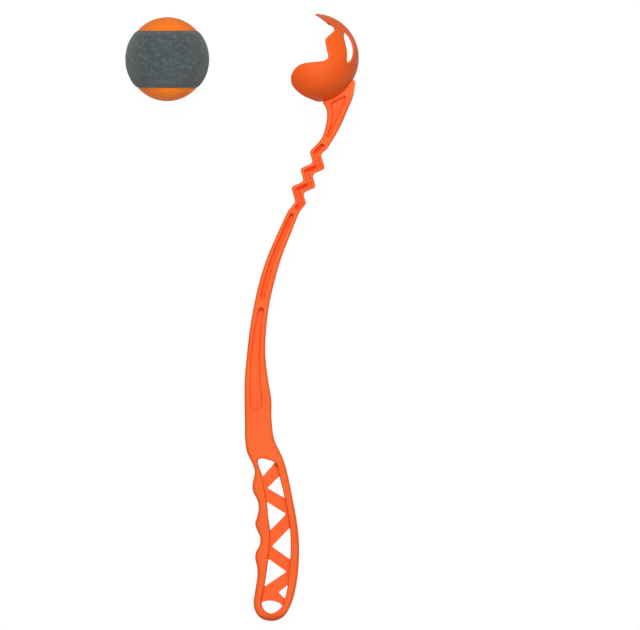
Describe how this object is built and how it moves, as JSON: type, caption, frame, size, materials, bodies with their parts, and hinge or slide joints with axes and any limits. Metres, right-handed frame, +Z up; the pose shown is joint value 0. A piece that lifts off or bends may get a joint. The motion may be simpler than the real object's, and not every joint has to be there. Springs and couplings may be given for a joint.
{
  "type": "dog ball thrower",
  "caption": "Curved plastic arm with a ball-gripping cup on a zigzag spring neck, a skeleton grip with finger bumps, and a felt-banded ball.",
  "frame": {"origin": "middle of the bounding box, on the floor that the thrower and ball lie on", "axes": "+Z up; +Y along the thrower from the grip to the cup; +X from the cup's mouth to its back"},
  "size_m": [0.187, 0.4854, 0.0705],
  "materials": {
    "orange_plastic": "satin moulded plastic",
    "orange_rubber": "smooth satin rubber",
    "grey_felt": "marled felt"
  },
  "bodies": {
    "arm": {"grip_frame": "orange_plastic", "grip_truss": "orange_plastic", "arm_beam": "orange_plastic"},
    "link_1": {"zigzag_link_1": "orange_plastic"},
    "link_2": {"zigzag_link_2": "orange_plastic"},
    "link_3": {"zigzag_link_3": "orange_plastic"},
    "link_4": {"zigzag_link_4": "orange_plastic"},
    "head": {"neck_gusset": "orange_plastic", "cup_bowl": "orange_plastic"},
    "claw_left": {"cup_claw_left": "orange_plastic"},
    "claw_right": {"cup_claw_right": "orange_plastic"},
    "beak": {"cup_beak": "orange_plastic"},
    "ball": {"ball_core_upper": "orange_rubber", "ball_core_lower": "orange_rubber", "ball_felt_band": "grey_felt"}
  },
  "joints": [
    {"name": "zigzag_flex_1", "type": "hinge", "parent": "arm", "child": "link_1", "pos_m": [0.04528, 0.09764, 0.02961], "axis": [0, -0.0536, 0.9986], "range_deg": [-3, 3], "stiffness_Nm_per_rad": 2},
    {"name": "zigzag_flex_2", "type": "hinge", "parent": "link_1", "child": "link_2", "pos_m": [0.05, 0.1045, 0.02998], "axis": [0, -0.0536, 0.9986], "range_deg": [-3, 3], "stiffness_Nm_per_rad": 2},
    {"name": "zigzag_flex_3", "type": "hinge", "parent": "link_2", "child": "link_3", "pos_m": [0.05258, 0.11232, 0.0304], "axis": [0, -0.0536, 0.9986], "range_deg": [-3, 3], "stiffness_Nm_per_rad": 2},
    {"name": "zigzag_flex_4", "type": "hinge", "parent": "link_3", "child": "link_4", "pos_m": [0.0573, 0.11918, 0.03077], "axis": [0, -0.0536, 0.9986], "range_deg": [-3, 3], "stiffness_Nm_per_rad": 2},
    {"name": "zigzag_flex_5", "type": "hinge", "parent": "link_4", "child": "head", "pos_m": [0.05989, 0.127, 0.03119], "axis": [0, -0.0536, 0.9986], "range_deg": [-3, 3], "stiffness_Nm_per_rad": 2},
    {"name": "claw_left_give", "type": "hinge", "parent": "head", "child": "claw_left", "pos_m": [0.05147, 0.18893, 0.06519], "axis": [0.1357, 0.7882, 0.6002], "range_deg": [0, 8], "stiffness_Nm_per_rad": 0.1},
    {"name": "claw_right_give", "type": "hinge", "parent": "head", "child": "claw_right", "pos_m": [0.05147, 0.19221, 0.00402], "axis": [-0.1357, -0.848, 0.5123], "range_deg": [0, 8], "stiffness_Nm_per_rad": 0.1},
    {"name": "beak_give", "type": "hinge", "parent": "head", "child": "beak", "pos_m": [0.07122, 0.24016, 0.03727], "axis": [0, 0.0536, -0.9986], "range_deg": [0, 6], "stiffness_Nm_per_rad": 0.1},
    {"name": "ball_to_cup", "type": "slide", "parent": "head", "child": "ball", "axis": [1, 0, 0], "range_m": [0, 0.076]}
  ],
  "couplings": [
    {"joint": "zigzag_flex_2", "follows": "zigzag_flex_1", "ratio": 1},
    {"joint": "zigzag_flex_3", "follows": "zigzag_flex_1", "ratio": 1},
    {"joint": "zigzag_flex_4", "follows": "zigzag_flex_1", "ratio": 1},
    {"joint": "zigzag_flex_5", "follows": "zigzag_flex_1", "ratio": 1},
    {"joint": "claw_right_give", "follows": "claw_left_give", "ratio": 1},
    {"joint": "beak_give", "follows": "claw_left_give", "ratio": 0.75}
  ]
}
